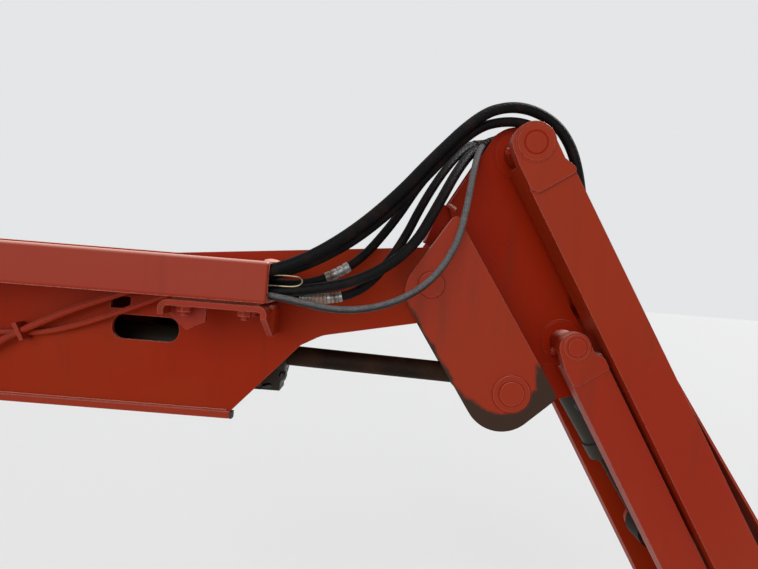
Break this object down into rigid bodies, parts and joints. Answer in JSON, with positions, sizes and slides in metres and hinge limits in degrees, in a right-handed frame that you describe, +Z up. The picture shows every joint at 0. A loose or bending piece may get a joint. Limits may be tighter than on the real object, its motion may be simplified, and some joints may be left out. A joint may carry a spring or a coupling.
{
  "type": "boom lift jib knuckle assembly",
  "caption": "Boom tip with levelling knuckle, parallel-arm jib, two hydraulic cylinders, hose tube and platform bracket of a self-propelled boom lift.",
  "frame": {"origin": "centre of the bolt holes on the back face of the boom rear flange", "axes": "+X along the boom towards the jib, +Z up, +Y away from the hose tube"},
  "size_m": [1.925, 0.387, 1.4689],
  "materials": {
    "orange_paint": "satin",
    "cylinder_rod": "greasy",
    "cylinder_black": "satin",
    "seal_rubber": "matte",
    "hose_rubber": "satin"
  },
  "bodies": {
    "boom": {"boom_bottom_plate": "orange_paint", "boom_mouth_seal": "seal_rubber", "boom_nose_top_plate": "orange_paint", "boom_nose_tube": "orange_paint", "boom_nose_under_plate": "orange_paint", "boom_rear_flange": "orange_paint", "boom_side_plates": "orange_paint", "boom_top_plate": "orange_paint", "feed_hose_clamp": "orange_paint", "feed_hose_lower": "orange_paint", "feed_hose_ports": "orange_paint", "feed_hose_upper": "orange_paint", "hose_run_1a": "hose_rubber", "hose_run_1b": "hose_rubber", "hose_run_2": "hose_rubber", "hose_run_3": "hose_rubber", "hose_run_4": "hose_rubber", "hose_run_5": "hose_rubber", "hose_tube": "orange_paint", "hose_tube_bracket": "orange_paint", "level_base_pin": "orange_paint"},
    "level_barrel": {"level_barrel": "cylinder_black"},
    "level_rod": {"level_rod": "cylinder_rod"},
    "knuckle": {"hose_top_1a": "hose_rubber", "hose_top_1b": "hose_rubber", "knuckle_inner_plates": "orange_paint", "knuckle_outer_plates": "orange_paint", "knuckle_port_block": "orange_paint", "knuckle_rear_web": "orange_paint", "knuckle_web": "orange_paint", "level_rod_pins": "orange_paint", "lift_base_pin": "orange_paint", "lower_arm_pins": "orange_paint", "pivot_pin": "orange_paint", "upper_arm_pin": "orange_paint"},
    "jib_upper": {"hose_guard": "orange_paint", "jib_cross_tube": "orange_paint", "jib_end_tube": "orange_paint", "jib_hose_bar": "orange_paint", "lift_rod_pins": "orange_paint", "upper_arm_far": "orange_paint", "upper_arm_near": "orange_paint"},
    "jib_lower": {"lower_arm_far": "orange_paint", "lower_arm_near": "orange_paint", "lower_tie_tube": "orange_paint"},
    "lift_barrel": {"lift_barrel": "cylinder_black"},
    "lift_rod": {"lift_rod": "cylinder_rod"},
    "platform": {"lower_end_pins": "orange_paint", "platform_face_plate": "orange_paint", "platform_side_plates": "orange_paint", "upper_end_pin": "orange_paint"}
  },
  "joints": [
    {"name": "knuckle_level", "type": "hinge", "parent": "boom", "child": "knuckle", "pos_m": [1, 0, 0.1125], "axis": [0, 1, 0], "range_deg": [-5, 75], "deforming": ["hose_run_1a", "hose_run_1b", "hose_run_2", "hose_run_3", "hose_run_4", "hose_run_5"]},
    {"name": "jib_luff", "type": "hinge", "parent": "knuckle", "child": "jib_upper", "pos_m": [1.1404, 0, 0.3437], "axis": [0, -1, 0], "range_deg": [0, 125], "deforming": ["hose_top_1a", "hose_top_1b"]},
    {"name": "lower_arm_swing", "type": "hinge", "parent": "knuckle", "child": "jib_lower", "pos_m": [1.2384, 0, 0.0319], "axis": [0, -1, 0], "range_deg": [-0.5, 125.5]},
    {"name": "platform_tilt", "type": "hinge", "parent": "jib_upper", "child": "platform", "pos_m": [1.75845, 0, -0.6849], "axis": [0, -1, 0], "range_deg": [-125.5, 0.5]},
    {"name": "lift_swing", "type": "hinge", "parent": "knuckle", "child": "lift_barrel", "pos_m": [1.123, 0, 0.1755], "axis": [0, -1, 0], "range_deg": [-0.5, 125]},
    {"name": "lift_stroke", "type": "slide", "parent": "lift_barrel", "child": "lift_rod", "axis": [0.5598, 0, -0.8286], "range_m": [-0.001, 0.3]},
    {"name": "level_swing", "type": "hinge", "parent": "boom", "child": "level_barrel", "pos_m": [0.3, 0, -0.0273], "axis": [0, 1, 0], "range_deg": [-0.5, 3]},
    {"name": "level_stroke", "type": "slide", "parent": "level_barrel", "child": "level_rod", "axis": [0.9997, 0, -0.0257], "range_m": [-0.265, 0.02]}
  ],
  "couplings": [
    {"joint": "lower_arm_swing", "follows": "jib_luff", "ratio": 1},
    {"joint": "platform_tilt", "follows": "jib_luff", "ratio": -1},
    {"joint": "lift_swing", "follows": "jib_luff", "ratio": 0.96591},
    {"joint": "lift_stroke", "follows": "jib_luff", "m_per_rad": 0.13537},
    {"joint": "level_swing", "follows": "knuckle_level", "ratio": 0.02889},
    {"joint": "level_stroke", "follows": "knuckle_level", "m_per_rad": -0.19752}
  ]
}
